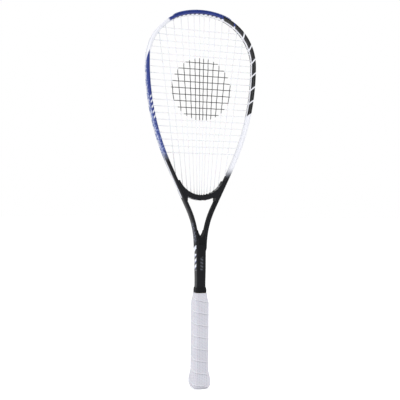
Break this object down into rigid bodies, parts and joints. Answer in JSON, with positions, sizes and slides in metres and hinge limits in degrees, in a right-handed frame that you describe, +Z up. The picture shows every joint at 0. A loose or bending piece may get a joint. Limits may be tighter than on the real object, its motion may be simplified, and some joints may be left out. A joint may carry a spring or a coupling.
{
  "type": "squash racket",
  "caption": "Squash racket: moulded teardrop head and shaft with bridge, bumper, grommet strips, fan-pattern strings and a taped octagonal handle with flared butt.",
  "frame": {"origin": "centre of the butt's flat end face", "axes": "+Z up the shaft to the tip of the head, +X across the head, +Y through the string bed, away from the shown face"},
  "size_m": [0.2128, 0.0384, 0.686],
  "materials": {
    "frame_paint": "lacquered laminate: black throat and shaft, blue crown, blue and white left side, white and black right side",
    "bridge_plastic": "satin black moulding",
    "core_foam": "rigid foam, hidden",
    "bumper_blue": "moulded nylon with a faint grain",
    "grommet_pale": "translucent pale nylon",
    "grommet_black": "black nylon",
    "string_white": "braided nylon under a clear coat, some of it inked dark grey",
    "decal_white": "printed film, plain white and blue blocks",
    "decal_grey": "printed film, plain grey dashes",
    "collar_rubber": "smooth black rubber",
    "tape_white": "adhesive tape, hidden under the collar",
    "pallet_foam": "moulded structural foam, hidden",
    "grip_pu": "soft white polyurethane tape, perforated and wrapped with an overlap",
    "cap_plastic": "satin pale moulding",
    "badge_grey": "plain grey disc, no mark",
    "staple_steel": "hidden steel staples"
  },
  "bodies": {
    "root": {"frame": "frame_paint", "bridge": "bridge_plastic", "bridge_core": "core_foam", "throat_wedge": "bridge_plastic", "tube_plugs": "core_foam", "head_bumper": "bumper_blue", "left_grommet_strip": "grommet_pale", "right_grommet_strip": "grommet_pale", "throat_grommet_strip": "grommet_black", "main_strings": "string_white", "cross_strings": "string_white", "shaft_side_decals": "decal_white", "shaft_front_decal": "decal_grey", "collar": "collar_rubber", "finishing_tape": "tape_white", "left_pallet": "pallet_foam", "right_pallet": "pallet_foam", "grip_wrap": "grip_pu", "butt_cap": "cap_plastic", "butt_badge": "badge_grey", "butt_staples": "staple_steel"}
  },
  "joints": []
}
